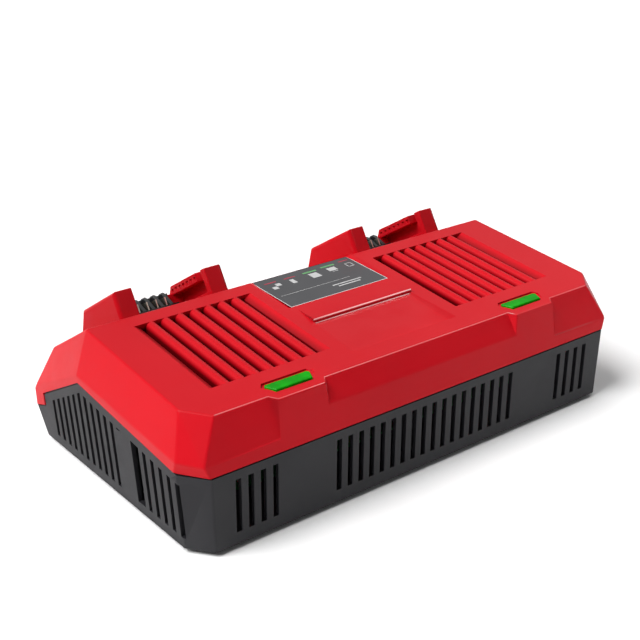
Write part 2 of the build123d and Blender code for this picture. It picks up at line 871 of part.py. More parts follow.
# ------------------------------------------------------------------ base shell
with BuildPart() as base_shell:
    add(housing_form(base_outline, base_faces))
    add(below_seam(-seam_gap / 2), mode=Mode.INTERSECT)
    # tongue that locates the top shell
    add(tongue.part)
    add(base_space.part, mode=Mode.SUBTRACT)
    # bosses for the housing screws
    with BuildSketch(level(wall / 2)):
        with Locations(*screw_places):
            Circle(boss_radius)
    extrude(amount=pillar_foot_up - wall / 2)
    with BuildSketch(level(0)):
        with Locations(*screw_places):
            Circle(screw_head_radius + screw_clearance)
    extrude(amount=screw_seat_up, mode=Mode.SUBTRACT)
    with BuildSketch(level(screw_seat_up)):
        with Locations(*screw_places):
            Circle(screw_radius + screw_clearance)
    extrude(amount=pillar_foot_up, mode=Mode.SUBTRACT)
    # standoffs for the circuit board
    with BuildSketch(level(wall / 2)):
        with Locations(*board_screw_places):
            Circle(standoff_radius)
    extrude(amount=wall / 2 + standoff_height)
    with BuildSketch(level(wall)):
        with Locations(*board_screw_places):
            Circle(board_screw_radius + pilot_clearance)
    extrude(amount=standoff_height, mode=Mode.SUBTRACT)
    # channels that hold the fan's two upright edges
    with BuildSketch(level(wall / 2)):
        add(fan_guides.sketch)
    extrude(amount=guide_height)
    # cradle for the cord gland
    with BuildSketch(Plane.XZ.offset(depth / 2 - gland_back)):
        with Locations((0, foot_height + wall / 2)):
            Rectangle(
                2 * (gland_flange_radius + wall),
                seam_rear_up - wall / 2,
                align=(Align.CENTER, Align.MIN),
            )
    extrude(amount=cradle_thickness)
    with BuildSketch(gland_start):
        with Locations((0, seam_rear_up + foot_height)):
            Circle(gland_radius + gland_fit)
    extrude(amount=-depth, mode=Mode.SUBTRACT)
    # vents in the front
    with BuildSketch(Plane.XZ.offset(depth / 2 + wall)):
        with Locations((0, front_vent_middle)):
            with GridLocations(middle_vent_pitch, 0, middle_vent_count, 1):
                Rectangle(vent_width, front_vent_top_up - front_vent_bottom_up)
        for direction in sides.values():
            with Locations((direction * outer_vent_middle, front_vent_middle)):
                with GridLocations(outer_vent_pitch, 0, outer_vent_count, 1):
                    Rectangle(vent_width, front_vent_top_up - front_vent_bottom_up)
    extrude(amount=-4 * wall, mode=Mode.SUBTRACT)
    # vents in both sides, their tops following the seam
    for direction in sides.values():
        with BuildSketch(Plane.YZ.offset(direction * (half_base + wall))):
            add(side_vents.sketch)
        extrude(amount=-direction * 4 * wall, mode=Mode.SUBTRACT)
    # seats for the feet, and two keyholes for hanging on wall hooks
    with BuildSketch(level(0)):
        with Locations(*foot_places.values()):
            Circle(foot_radius + shell_fit)
    extrude(amount=foot_seat, mode=Mode.SUBTRACT)
    with BuildSketch(level(0)):
        for direction in sides.values():
            with Locations(plan(direction * keyhole_spacing / 2, keyhole_back)):
                Circle(keyhole_head_radius)
            with Locations(plan(direction * keyhole_spacing / 2, keyhole_back + keyhole_run / 2)):
                Rectangle(2 * keyhole_neck_radius, keyhole_run)
            with Locations(plan(direction * keyhole_spacing / 2, keyhole_back + keyhole_run)):
                Circle(keyhole_neck_radius)
    extrude(amount=wall, mode=Mode.SUBTRACT)

finish(base_shell, "base_shell")

# ------------------------------------------------------------------ docks, on the rear slope
for name, x in bays.items():
    with BuildPart() as dock:
        # both rails and the bulkhead, from their side views
        with BuildSketch(dock_side(x)):
            with BuildLine():
                Polyline(
                    (dock_start, 0),
                    (dock_start, dock_height),
                    (dock_end, dock_height),
                    (dock_tail_along, dock_tail_out),
                    (dock_tail_along - dock_tail_undercut, 0),
                    close=True,
                )
            make_face()
        extrude(amount=dock_width / 2, both=True)
        outer_edges = dock.edges().filter_by(Axis.X, reverse=True)
        top_edges = outer_edges.filter_by(
            lambda edge: abs(abs(edge.center().X - x) - dock_width / 2) < tolerance
            and dock_plane(x).to_local_coords(edge.center()).Z > dock_edge_radius
        )
        fillet(top_edges, dock_edge_radius)
        # channel for the pack, from the front end to the bulkhead
        with BuildSketch(dock_plane(x)):
            with Locations((0, dock_start - dock_cut_margin)):
                Rectangle(
                    dock_opening,
                    bulkhead_along - dock_start + dock_cut_margin,
                    align=(Align.CENTER, Align.MIN),
                )
            with Locations((0, bulkhead_along + bulkhead_thickness)):
                Rectangle(dock_opening, dock_tail_along, align=(Align.CENTER, Align.MIN))
        extrude(amount=2 * dock_height, mode=Mode.SUBTRACT)
        with BuildSketch(dock_plane(x).offset(bulkhead_height)):
            with Locations((0, bulkhead_along - dock_cut_margin)):
                Rectangle(dock_opening, dock_tail_along, align=(Align.CENTER, Align.MIN))
        extrude(amount=dock_height, mode=Mode.SUBTRACT)
        # grooves under the flanges, for the pack's rails
        with BuildSketch(dock_plane(x).offset(groove_floor_out)):
            with Locations((0, groove_start)):
                Rectangle(
                    dock_opening + 2 * groove_reach,
                    bulkhead_along - groove_start,
                    align=(Align.CENTER, Align.MIN),
                )
        extrude(amount=flange_out - groove_floor_out, mode=Mode.SUBTRACT)
        # pockets that the pack's latches drop into
        with BuildSketch(dock_plane(x).offset(groove_floor_out)):
            with Locations((0, latch_pocket_along)):
                Rectangle(
                    dock_opening + 2 * groove_reach,
                    latch_pocket_length,
                    align=(Align.CENTER, Align.MIN),
                )
        extrude(amount=dock_height, mode=Mode.SUBTRACT)
        # row of small notches in each flange
        for direction in sides.values():
            with BuildSketch(dock_side(x).offset(direction * dock_opening / 2)):
                with Locations((notch_middle, (flange_out + dock_height) / 2)):
                    with GridLocations(notch_pitch, 0, notch_count, 1):
                        Triangle(a=notch_width, B=notch_angle, C=notch_angle, rotation=180)
            extrude(amount=direction * notch_depth, mode=Mode.SUBTRACT)
        # pegs that locate the dock in the shell, with pilot holes for its screws
        with BuildSketch(dock_plane(x)):
            with Locations(*dock_pin_places):
                Circle(dock_pin_radius)
        extrude(amount=-dock_pin_length)
        with BuildSketch(dock_plane(x).offset(-dock_pin_length)):
            with Locations(*dock_pin_places):
                Circle(board_screw_radius + pilot_clearance)
        extrude(amount=dock_pin_length + dock_screw_length - wall + pilot_spare, mode=Mode.SUBTRACT)
    finish(dock, f"dock_{name}")

# ------------------------------------------------------------------ terminal blocks and their blades
# One guard rib across its length: straight sides and a rounded top
with BuildSketch() as guard_profile:
    Rectangle(
        guard_thickness,
        terminal_top_out - guard_thickness / 2,
        align=(Align.CENTER, Align.MIN),
    )
    with Locations((0, terminal_top_out - guard_thickness / 2)):
        Circle(guard_thickness / 2)

for name, x in bays.items():
    with BuildPart() as block:
        with BuildSketch(dock_plane(x)):
            with Locations((0, terminal_start)):
                Rectangle(
                    terminal_width,
                    terminal_end - terminal_start,
                    align=(Align.CENTER, Align.MIN),
                )
        extrude(amount=terminal_base_out)
        # plug that fills the window in the shell
        with BuildSketch(dock_plane(x)):
            with Locations((0, window_middle)):
                Rectangle(window_width - 2 * dock_fit, window_length - 2 * dock_fit)
        extrude(amount=-2 * wall)
        # back wall
        with BuildSketch(dock_side(x)):
            with Locations((terminal_end, 0)):
                Rectangle(
                    terminal_back_wall, terminal_wall_out, align=(Align.MAX, Align.MIN)
                )
        extrude(amount=terminal_width / 2, both=True)
        # guard ribs, their front ends cut off along a ramp
        with BuildSketch(dock_end_plane(x, terminal_end)):
            with GridLocations(guard_pitch, 0, guard_count, 1):
                add(guard_profile.sketch)
        extrude(amount=terminal_end - terminal_ramp_start)
        with BuildSketch(dock_side(x)):
            with BuildLine():
                Polyline(
                    (terminal_ramp_start, terminal_base_out),
                    (terminal_ramp_end, terminal_top_out),
                    (terminal_ramp_start, terminal_top_out),
                    close=True,
                )
            make_face()
        extrude(amount=terminal_width / 2, both=True, mode=Mode.SUBTRACT)
        # slots that hold the blades
        with BuildSketch(dock_plane(x).offset(-2 * wall)):
            with Locations((0, blade_middle)):
                with GridLocations(guard_pitch, 0, blade_count, 1):
                    Rectangle(blade_thickness + 2 * blade_fit, blade_length + 2 * blade_fit)
        extrude(amount=2 * wall + terminal_base_out, mode=Mode.SUBTRACT)
    finish(block, f"terminal_block_{name}")

    with BuildPart() as blades:
        for place in range(blade_count):
            blade_side = dock_side(x).offset((place - (blade_count - 1) / 2) * guard_pitch)
            with BuildSketch(blade_side):
                with Locations((blade_middle, (blade_height - blade_tail) / 2)):
                    Rectangle(blade_length, blade_height + blade_tail)
            extrude(amount=blade_thickness / 2, both=True)
    finish(blades, f"terminal_blades_{name}")

# ------------------------------------------------------------------ light bars and their boards
for name, x in bays.items():
    with BuildPart() as light_bar:
        with BuildSketch(level(lens_floor_up - wall)):
            with BuildLine():
                Polyline([(x + across, y) for across, y in lens_plan], close=True)
            make_face()
            offset(amount=-lens_fit, kind=Kind.INTERSECTION)
        extrude(amount=wall + lens_proud)
        chamfer(light_bar.faces().sort_by(Axis.Z)[-1].edges(), lens_edge)
        # light guide down to the board
        with BuildSketch(level(light_board_up)):
            with Locations((x, lens_middle_y)):
                Rectangle(light_guide_width, light_guide_depth)
        extrude(amount=light_board_drop - wall)
    finish(light_bar, f"light_bar_{name}")

    with BuildPart() as light_board:
        with BuildSketch(level(light_board_up)):
            with Locations((x, lens_middle_y)):
                Rectangle(light_board_width, light_board_depth)
                with GridLocations(light_post_spacing, 0, 2, 1):
                    Circle(board_screw_radius + pilot_clearance, mode=Mode.SUBTRACT)
        extrude(amount=-board_thickness)
    finish(light_board, f"light_board_{name}")

# ------------------------------------------------------------------ label plate
with BuildPart() as label_plate:
    with BuildSketch(top_plane.offset(-field_depth)):
        with Locations((0, field_front)):
            Rectangle(label_width, -field_front - label_fit, align=(Align.CENTER, Align.MIN))
    extrude(amount=label_thickness)

finish(label_plate, "label_plate")

# ------------------------------------------------------------------ feet
for name, place in foot_places.items():
    with BuildPart() as foot:
        with BuildSketch(level(foot_seat)):
            with Locations(place):
                Circle(foot_radius)
        extrude(amount=-foot_height - foot_seat)
        chamfer(foot.edges().group_by(Axis.Z)[0], foot_radius / 6)
    finish(foot, f"foot_{name}")

# ------------------------------------------------------------------ cord gland
with BuildPart() as cord_gland:
    with BuildSketch(Plane.XY.offset(seam_rear_up + foot_height)):
        with BuildLine():
            Polyline(
                plan(gland_bore_radius, gland_back - cradle_thickness - gland_fit),
                plan(gland_radius, gland_back - cradle_thickness - gland_fit),
                plan(gland_radius, gland_back),
                plan(gland_flange_radius, gland_back),
                plan(gland_flange_radius, gland_back + gland_flange_thickness),
                plan(gland_radius, gland_back + gland_flange_thickness),
                plan(gland_radius, depth - seam_gap),
                plan(gland_bore_radius, depth - seam_gap),
                close=True,
            )
        make_face()
    revolve(axis=Axis((0, 0, seam_rear_up + foot_height), (0, 1, 0)))

finish(cord_gland, "cord_gland")

# ------------------------------------------------------------------ screws
def screws(places, seat, drive, head_radius, head_height, shank_radius, length):
    """Pan-head screws with their heads on a level seat, driven up (drive 1) or down (drive -1)."""
    with BuildPart() as group:
        with BuildSketch(seat):
            with Locations(*places):
                Circle(head_radius)
        extrude(amount=-drive * head_height)
        chamfer(group.edges().group_by(Axis.Z)[0 if drive > 0 else -1], head_height / 3)
        with BuildSketch(seat):
            with Locations(*places):
                Circle(shank_radius)
        extrude(amount=drive * length)
    return group


def small_screws(places, seat, drive):
    """Screws that hold the circuit boards."""
    head_radius = 2 * board_screw_radius
    return screws(
        places, seat, drive, head_radius, board_screw_radius, board_screw_radius, board_screw_length
    )


housing_screws = screws(
    screw_places,
    level(screw_seat_up),
    1,
    screw_head_radius,
    screw_head_height,
    screw_radius,
    screw_length,
)
finish(housing_screws, "housing_screws")
board_screws = small_screws(board_screw_places, level(board_top_up), -1)
finish(board_screws, "board_screws")
light_board_screws = small_screws(light_post_places, level(light_board_up - board_thickness), 1)
finish(light_board_screws, "light_board_screws")

for name, x in bays.items():
    with BuildPart() as dock_screws:
        with BuildSketch(dock_plane(x).offset(-wall)):
            with Locations(*dock_pin_places):
                Circle(dock_screw_head_radius)
        extrude(amount=-board_screw_radius)
        with BuildSketch(dock_plane(x).offset(-wall)):
            with Locations(*dock_pin_places):
                Circle(board_screw_radius)
        extrude(amount=dock_screw_length)
    finish(dock_screws, f"dock_screws_{name}")

# ------------------------------------------------------------------ circuit board and what it carries
with BuildPart() as main_board:
    with BuildSketch(level(board_up)):
        with Locations(plan(board_x, board_back)):
            Rectangle(board_width, board_depth)
        with Locations(*board_screw_places):
            Circle(board_screw_radius + pilot_clearance, mode=Mode.SUBTRACT)
    extrude(amount=board_thickness)
    fillet(main_board.edges().filter_by(Axis.Z).group_by(SortBy.LENGTH)[-1].sort_by(Axis.X)[:2], wall)

finish(main_board, "main_board")

# Heat sinks: an upright plate with fins on the side that faces away from the transformer
sink_fin_pitch = (sink_height - sink_fin_thickness) / (sink_fin_count - 1)
for name, direction in sides.items():
    sink_x = sink_places[name]
    with BuildPart() as heat_sink:
        with BuildSketch(Plane.XZ.offset(depth / 2 - board_back)):
            with Locations((sink_x, board_top_up + foot_height)):
                Rectangle(
                    sink_base,
                    sink_height,
                    align=(Align.MAX if direction < 0 else Align.MIN, Align.MIN),
                )
            fin_middle = sink_x + direction * (sink_base + sink_fin_reach / 2)
            with Locations((fin_middle, board_top_up + foot_height + sink_height / 2)):
                with GridLocations(0, sink_fin_pitch, 1, sink_fin_count):
                    Rectangle(sink_fin_reach, sink_fin_thickness)
        extrude(amount=sink_length / 2, both=True)
    finish(heat_sink, f"heat_sink_{name}")

    with BuildPart() as transistors:
        body_up = board_top_up + transistor_lift
        body_x = sink_x - direction * transistor_thickness / 2
        places = [
            plan(body_x, board_back + spread * transistor_spacing / 2) for spread in (-1, 1)
        ]
        with BuildSketch(level(body_up)):
            with Locations(*places):
                Rectangle(transistor_thickness, transistor_width)
        extrude(amount=transistor_height)
        chamfer(transistors.faces().group_by(Axis.Z)[-1].edges().filter_by(Axis.Y), wall / 4)
        with BuildSketch(level(board_top_up)):
            with Locations(*places):
                with GridLocations(0, lead_pitch, 1, 3):
                    Rectangle(lead_width / 2, lead_width)
        extrude(amount=transistor_lift)
    finish(transistors, f"power_transistors_{name}")

# Transformer: a core with a middle leg and two windows, and the winding round that leg
transformer_x = (sink_places["left"] + sink_places["right"]) / 2
window_height = core_height - 2 * core_yoke
core_window = (core_width - core_leg) / 2 - core_yoke
with BuildPart() as transformer_core:
    with BuildSketch(Plane.XZ.offset(depth / 2 - board_back)):
        with Locations((transformer_x, board_top_up + foot_height + core_height / 2)):
            Rectangle(core_width, core_height)
            with GridLocations(core_leg + core_window, 0, 2, 1):
                Rectangle(core_window, window_height, mode=Mode.SUBTRACT)
    extrude(amount=core_depth / 2, both=True)

finish(transformer_core, "transformer_core")

with BuildPart() as transformer_winding:
    with BuildSketch(level(board_top_up + core_yoke + coil_fit)):
        with Locations(plan(transformer_x, board_back)):
            RectangleRounded(
                core_leg + 2 * coil_build, core_depth + 2 * coil_build, coil_corner_radius
            )
            Rectangle(core_leg + 2 * coil_fit, core_depth + 2 * coil_fit, mode=Mode.SUBTRACT)
    extrude(amount=window_height - 2 * coil_fit)

finish(transformer_winding, "transformer_winding")

with BuildPart() as bulk_capacitors:
    with BuildSketch(level(board_top_up)):
        with Locations(plan(capacitor_x, board_back)):
            with GridLocations(0, 2 * capacitor_radius + capacitor_gap, 1, 2):
                Circle(capacitor_radius)
    extrude(amount=capacitor_height)
    chamfer(bulk_capacitors.edges().group_by(Axis.Z)[-1], capacitor_radius / 10)

finish(bulk_capacitors, "bulk_capacitors")

with BuildPart() as filter_choke:
    with BuildSketch(Plane.XZ.offset(depth / 2 - choke_back)):
        with Locations((choke_x + choke_radius, board_top_up + foot_height + choke_section)):
            Rectangle(2 * choke_section, 2 * choke_section)
        chamfer(vertices(), choke_section / 2)
    revolve(axis=Axis((*plan(choke_x, choke_back), 0), (0, 0, 1)))

finish(filter_choke, "filter_choke")

with BuildPart() as fuse:
    fuse_plane = Plane.XZ.offset(depth / 2 - fuse_back)
    with BuildSketch(fuse_plane):
        with Locations((choke_x, board_top_up + foot_height + 2 * fuse_radius)):
            Circle(fuse_radius)
    extrude(amount=fuse_length / 2, both=True)
    # spring clips that hold it on the board
    for end in (-1, 1):
        with BuildSketch(level(board_top_up)):
            with Locations(plan(choke_x, fuse_back + end * fuse_length / 3)):
                Rectangle(2 * fuse_radius, fuse_radius)
        extrude(amount=2 * fuse_radius)

finish(fuse, "fuse")

with BuildPart() as board_connectors:
    with BuildSketch(level(board_top_up)):
        with Locations(plan(choke_x, header_back)):
            with GridLocations(0, header_width, 1, 2):
                Rectangle(header_width, header_depth)
    extrude(amount=header_height)
    with BuildSketch(level(board_top_up + header_height)):
        with Locations(plan(choke_x, header_back)):
            with GridLocations(0, header_width, 1, 2):
                Rectangle(header_width - wall, header_depth - wall)
    extrude(amount=-header_height / 2, mode=Mode.SUBTRACT)

finish(board_connectors, "board_connectors")

# ------------------------------------------------------------------ cooling fan
with BuildPart() as fan_frame:
    with BuildSketch(Plane.YZ.offset(fan_outer_x)):
        with Locations(fan_middle):
            RectangleRounded(fan_size, fan_size, fan_corner_radius)
            Circle(duct_radius, mode=Mode.SUBTRACT)
            with GridLocations(fan_hole_spacing, fan_hole_spacing, 2, 2):
                Circle(fan_hole_radius, mode=Mode.SUBTRACT)
    extrude(amount=fan_thickness)
    # motor plate on struts, with the bearing in its middle
    with BuildSketch(Plane.YZ.offset(fan_inner_x - motor_plate_thickness)):
        with Locations(fan_middle):
            Circle(fan_hub_radius)
            for turn in (45, 135):
                Rectangle(2 * duct_radius + wall, motor_strut_width, rotation=turn)
            Circle(rotor_shaft_radius + rotor_shaft_fit, mode=Mode.SUBTRACT)
    extrude(amount=motor_plate_thickness)

finish(fan_frame, "fan_frame")


def blade_section(radius, chord, pitch):
    """Section of the upright blade at a radius, turned from the axis by its pitch."""
    across = Vector(cos(radians(pitch)), sin(radians(pitch)), 0)
    middle = Vector((rotor_start_x + rotor_end_x) / 2, fan_middle[0], fan_middle[1] + radius)
    with BuildSketch(Plane(origin=middle, x_dir=across, z_dir=(0, 0, 1))) as section:
        Rectangle(chord, fan_blade_thickness)
    return section.sketch


with BuildPart() as fan_blade:
    loft(
        [
            blade_section(fan_hub_radius - fan_root_overlap, fan_root_chord, fan_root_pitch),
            blade_section(duct_radius, fan_tip_chord, fan_tip_pitch),
        ]
    )
    with BuildSketch(Plane.YZ.offset(rotor_start_x)):
        with Locations(fan_middle):
            Circle(fan_tip_radius)
    extrude(amount=rotor_end_x - rotor_start_x, mode=Mode.INTERSECT)

with BuildPart() as fan_rotor:
    with BuildSketch(Plane.YZ.offset(rotor_start_x)):
        with Locations(fan_middle):
            Circle(fan_hub_radius)
    extrude(amount=rotor_end_x - rotor_start_x)
    chamfer(fan_rotor.edges().group_by(Axis.X)[0], wall / 2)
    for place in range(fan_blade_count):
        add(fan_blade.part.rotate(fan_axis, 360 / fan_blade_count * place))
    with BuildSketch(Plane.YZ.offset(rotor_end_x)):
        with Locations(fan_middle):
            Circle(rotor_shaft_radius)
    extrude(amount=rotor_end_gap + motor_plate_thickness)

finish(fan_rotor, "fan_rotor")
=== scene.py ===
"""Dresses a charger for slide-on battery packs: shells, docks, lights, label and a soft studio."""

from math import cos, pi, radians, sin

import bmesh
import bpy
from bpy.props import FloatProperty, FloatVectorProperty, PointerProperty
from mathutils import Matrix, Vector


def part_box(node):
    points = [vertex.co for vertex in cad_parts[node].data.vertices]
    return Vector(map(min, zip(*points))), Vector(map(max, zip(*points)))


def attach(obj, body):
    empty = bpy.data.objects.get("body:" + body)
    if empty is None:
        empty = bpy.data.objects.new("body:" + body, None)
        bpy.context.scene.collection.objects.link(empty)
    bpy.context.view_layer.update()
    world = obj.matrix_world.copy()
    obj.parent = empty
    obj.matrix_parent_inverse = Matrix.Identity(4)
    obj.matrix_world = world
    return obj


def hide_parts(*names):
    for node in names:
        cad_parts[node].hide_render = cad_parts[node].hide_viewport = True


bl_info = {
    "name": "Battery charger dresser",
    "version": (1, 0, 0),
    "blender": (4, 5, 0),
    "location": "3D View > Sidebar > Charger",
    "description": "Builds the finished pieces of a battery charger round its packed frame",
    "category": "Object",
}

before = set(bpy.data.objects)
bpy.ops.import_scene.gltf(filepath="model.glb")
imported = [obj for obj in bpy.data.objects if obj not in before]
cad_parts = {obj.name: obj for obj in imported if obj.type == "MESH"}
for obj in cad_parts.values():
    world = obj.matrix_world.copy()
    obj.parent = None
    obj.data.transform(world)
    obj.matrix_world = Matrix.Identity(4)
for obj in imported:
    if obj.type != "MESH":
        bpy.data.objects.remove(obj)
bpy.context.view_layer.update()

MM = 0.001
SQUARE_MM = MM * MM
HOUSING = "charger"
SIDES = ("left", "right")

# ------------------------------------------------------------------ measures of the shapes
# The CAD meshes: how close points are welded, and what counts as flat, as smooth and as a ridge.
WELD = 0.002 * MM
FLAT_UNDER = radians(0.6)
SMOOTH_UNDER = radians(24)
RIDGE_OVER = radians(8)
ROUNDING_STEPS = 4
FLAT_FACE_WEIGHT = 50

# The outer form: the area of a large face, and how far down an outer face may look.
LARGE_FACE = 400 * SQUARE_MM
LOWEST_NORMAL = -0.5

# The upper shell's outer faces, the stub edges at its corners, and the pads under its light bars,
# which reach past the bar's box by these margins and lie over a height.
SHELL_STEP = 7 * MM
SHELL_FACE = 20 * SQUARE_MM
STUB_UNDER = 1 * MM
STUBS_BEYOND = 140 * MM
PAD_ASIDE = 8 * MM
PAD_BEHIND = 4 * MM
PAD_OVER = 63 * MM

# The ridges of a dock that are rounded.
DOCK_RIDGE_OVER = radians(25)
DOCK_RIDGE_LENGTH = 4 * MM
DOCK_FACE = 12 * SQUARE_MM

# The base's outer faces, and its ridges that are rounded.
BASE_STEP = 3 * MM
BASE_FACE = 40 * SQUARE_MM
BASE_RIDGE_LENGTH = 8 * MM
BASE_RIDGE_UNDER = 50 * MM

# The label's inlay: how far its upper face goes past the CAD plate's box, then its narrower foot.
INLAY_ASIDE = 2.3 * MM
INLAY_FORWARD = 0.35 * MM
INLAY_REARWARD = 2.3 * MM
INLAY_FRONT_RISE = 2.75 * MM
INLAY_REAR_RISE = 0.62 * MM
FOOT_FRONT_INSET = 0.6 * MM
FOOT_REAR_INSET = 0.1 * MM
FOOT_FRONT_RISE = 0.1 * MM
FOOT_REAR_SINK = 0.6 * MM

# The line round the label. Its rear side lies past the film, so it doesn't show.
LINE_INSET = 0.35 * MM
LINE_WIDTH = 0.55 * MM
LINE_PAST_REAR = 2 * MM
LINE_COLOUR = (0.55, 0.55, 0.55)

# Marks on the label: ink, middle across and up the slope, width and depth, in mm from its corner.
MARKS = (
    ("pale", 30.0, 15.6, 52.0, 0.3),
    ("pale", 50.0, 10.6, 22.0, 1.1),
    ("pale", 50.0, 8.0, 17.0, 1.1),
    ("pale", 8.2, 27.2, 3.6, 3.4),
    ("pale", 12.4, 30.4, 3.6, 3.4),
    ("pale", 23.0, 29.4, 3.0, 5.6),
    ("pale", 39.5, 29.2, 6.4, 6.6),
    ("pale", 54.0, 30.8, 6.4, 4.6),
    ("pale", 54.0, 27.2, 4.4, 0.5),
    ("pale", 67.5, 32.6, 4.6, 0.5),
    ("pale", 65.4, 30.2, 0.5, 5.2),
    ("pale", 69.6, 30.2, 0.5, 5.2),
    ("pale", 67.5, 27.8, 4.6, 0.5),
    ("red", 9.4, 35.0, 8.6, 1.0),
    ("red", 24.0, 35.0, 8.6, 1.0),
    ("red", 67.4, 37.0, 7.4, 1.0),
    ("green", 39.4, 35.0, 10.6, 1.6),
    ("green", 54.2, 36.0, 10.6, 1.6),
)
INKS = {"pale": (0.5, 0.5, 0.5), "red": (0.4, 0.02, 0.05), "green": (0.11, 0.33, 0.12)}

# The ink's thickness, and the height of its middle over the film, in mm.
INK_THICKNESS = 0.04
INK_MIDDLE = 0.02

# ------------------------------------------------------------------ measures of the looks
# The sloping top as a plane, the two grilles in it as middles and reaches aside and along,
# and the painted shade in their slots, a near-black red painted in where shade falls, which starts
# and is deepest at these depths.
TOP_NORMAL = (0.0, -0.1196, 0.9928)
TOP_HEIGHT = 87.1 * MM
GRILLE_MIDDLE = (93 * MM, -24 * MM)
GRILLE_REACH = (49 * MM, 42 * MM)
SLOT_SHADE_STARTS = 0.8 * MM
SLOT_SHADE_DEEPEST = 4 * MM
SLOT_SHADE_SHARE = 0.85
SLOT_SHADE_COLOUR = (0.03, 0.0, 0.0005)

# Noise: its scale in each finish, and the middle of its range, which is spread from 0 to 1.
TONE_SCALE = 9.0
PATCH_SCALE = 45.0
BRUSHING_SCALE = 900.0
HAZE_SCALE = 160.0
GLOW_SCALE = 95.0
LENS_PATCH_SCALE = 70.0
FILM_SCALE = 60.0
FILM_GRAIN_SCALE = 1400.0
PAPER_SCALE = 3.0
NOISE_MIDDLE = {"from_low": 0.3, "from_high": 0.7}
HAZE_MIDDLE = {"from_low": 0.35, "from_high": 0.65}

# Tones of a finish, as shares of its colour, darker and lighter.
PLASTIC_TONES = (0.93, 1.06)
METAL_TONES = (0.85, 1.08)
LENS_TONES = (0.8, 1.15)
FILM_TONES = (0.9, 1.1)
DIM_GLOW = 0.75
BRIGHT_GLOW = (0.05, 0.85, 0.02)

# Roughness: how far a plastic and a metal go below and above their own, and the whole of others.
PLASTIC_SMOOTHER = 0.04
PLASTIC_ROUGHER = 0.05
METAL_SMOOTHER = 0.06
METAL_ROUGHER = 0.08
LENS_ROUGHNESS = (0.16, 0.26)
FILM_ROUGHNESS = (0.3, 0.42)
PAPER_ROUGHNESS = 0.9

# Heights of the finest relief.
BRUSHING_HEIGHT = 0.01 * MM
FILM_GRAIN_HEIGHT = 0.006 * MM

# Moulded finishes: roughness, scale of the grain, height of the grain in mm, and gloss.
MOULDED = {
    "shell_plastic": (0.38, 2600.0, 0.012, 0.1),
    "dock_plastic": (0.46, 2600.0, 0.012, 0.04),
    "base_plastic": (0.52, 1500.0, 0.03, 0.3),
    "black_plastic": (0.42, 1500.0, 0.02, 0.3),
    "foot_rubber": (0.7, 1200.0, 0.03, 0.3),
    "board_laminate": (0.35, 500.0, 0.01, 0.3),
    "ferrite": (0.6, 900.0, 0.03, 0.3),
    "winding_tape": (0.4, 700.0, 0.02, 0.3),
    "capacitor_sleeve": (0.3, 500.0, 0.01, 0.3),
    "fuse_glass": (0.12, 300.0, 0.005, 0.3),
    "connector_plastic": (0.45, 800.0, 0.01, 0.3),
    "ink": (0.4, 1200.0, 0.003, 0.3),
}
BLACK = (0.012, 0.012, 0.013)

# Metals: colour, roughness, and the scale of the brushing along each axis.
METALS = {
    "contact_metal": ((0.72, 0.68, 0.58), 0.3, (1, 1, 0.05)),
    "screw_steel": ((0.5, 0.5, 0.5), 0.35, (1, 1, 1)),
    "sink_aluminium": ((0.75, 0.75, 0.77), 0.4, (1, 0.05, 1)),
}

# Colours of the fittings' moulded finishes, and the finish of each fitting by its name's start.
FITTING_COLOURS = {
    "foot_rubber": (0.014, 0.014, 0.014),
    "board_laminate": (0.01, 0.12, 0.035),
    "ferrite": (0.05, 0.05, 0.055),
    "winding_tape": (0.7, 0.45, 0.05),
    "capacitor_sleeve": (0.02, 0.03, 0.09),
    "fuse_glass": (0.7, 0.74, 0.72),
    "connector_plastic": (0.75, 0.72, 0.62),
}
FITTINGS = {
    "foot": "foot_rubber",
    "cord_gland": "foot_rubber",
    "housing_screws": "screw_steel",
    "board_screws": "screw_steel",
    "light_board_screws": "screw_steel",
    "dock_screws": "screw_steel",
    "heat_sink": "sink_aluminium",
    "main_board": "board_laminate",
    "light_board_left": "board_laminate",
    "light_board_right": "board_laminate",
    "transformer_core": "ferrite",
    "transformer_winding": "winding_tape",
    "filter_choke": "winding_tape",
    "bulk_capacitors": "capacitor_sleeve",
    "fuse": "fuse_glass",
    "board_connectors": "connector_plastic",
    "power_transistors": "black_plastic",
    "fan": "black_plastic",
}

# The stage, in metres, and the camera's sensor in mm.
FLOOR_REACH = 6.0
PAPER_TONES = ((0.93, 0.93, 0.93), (0.95, 0.95, 0.95))
WHITE = (1, 1, 1, 1)
SENSOR_WIDTH = 36.0
NEAREST = 0.02
FARTHEST = 50.0


# ------------------------------------------------------------------ settings
class RoundingSettings(bpy.types.PropertyGroup):
    """Radii of the rounded edges."""

    shell_radius: FloatProperty(
        name="Shell rounding",
        description="Radius on the outer edges of the upper shell and on its pads",
        default=0.9 * MM,
        min=0.0,
        precision=5,
        unit="LENGTH",
    )
    dock_radius: FloatProperty(
        name="Dock rounding",
        description="Radius on the rails and lips of the docks",
        default=0.6 * MM,
        min=0.0,
        precision=5,
        unit="LENGTH",
    )
    base_radius: FloatProperty(
        name="Base rounding",
        description="Radius on the outer edges of the base",
        default=1 * MM,
        min=0.0,
        precision=5,
        unit="LENGTH",
    )


